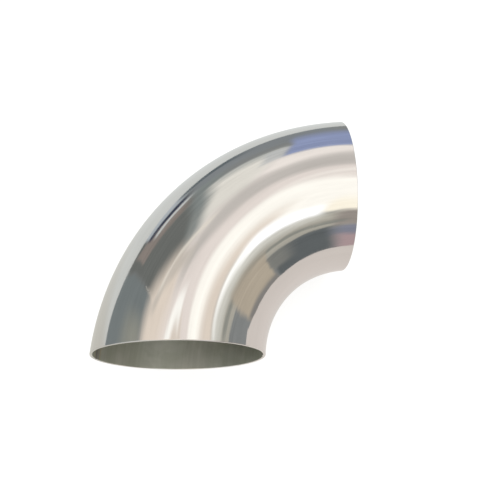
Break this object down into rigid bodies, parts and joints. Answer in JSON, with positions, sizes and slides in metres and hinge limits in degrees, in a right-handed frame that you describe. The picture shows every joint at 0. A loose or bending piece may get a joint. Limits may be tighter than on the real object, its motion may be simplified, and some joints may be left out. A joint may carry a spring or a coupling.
{
  "type": "pipe elbow",
  "caption": "Polished thin-wall stainless 90-degree butt-weld pipe elbow with open round ends, made of pressed half shells joined by seam welds.",
  "frame": {"origin": "centre of the inlet end face", "axes": "inlet opens along -Y, outlet opens along +X, the bend lies in the XY plane, and +Z is the normal of that plane, away from the surface the elbow lies on"},
  "size_m": [0.1568, 0.1568, 0.1016],
  "materials": {
    "polished_shell": "buffed to a near-mirror outside with faint lengthwise polishing lines, satin grey inside, satin cut end faces",
    "weld_metal": "ground flush and buffed outside, as-welded ripple inside"
  },
  "bodies": {
    "root": {"upper_half_shell": "polished_shell", "lower_half_shell": "polished_shell", "extrados_seam_weld": "weld_metal", "intrados_seam_weld": "weld_metal"}
  },
  "joints": []
}
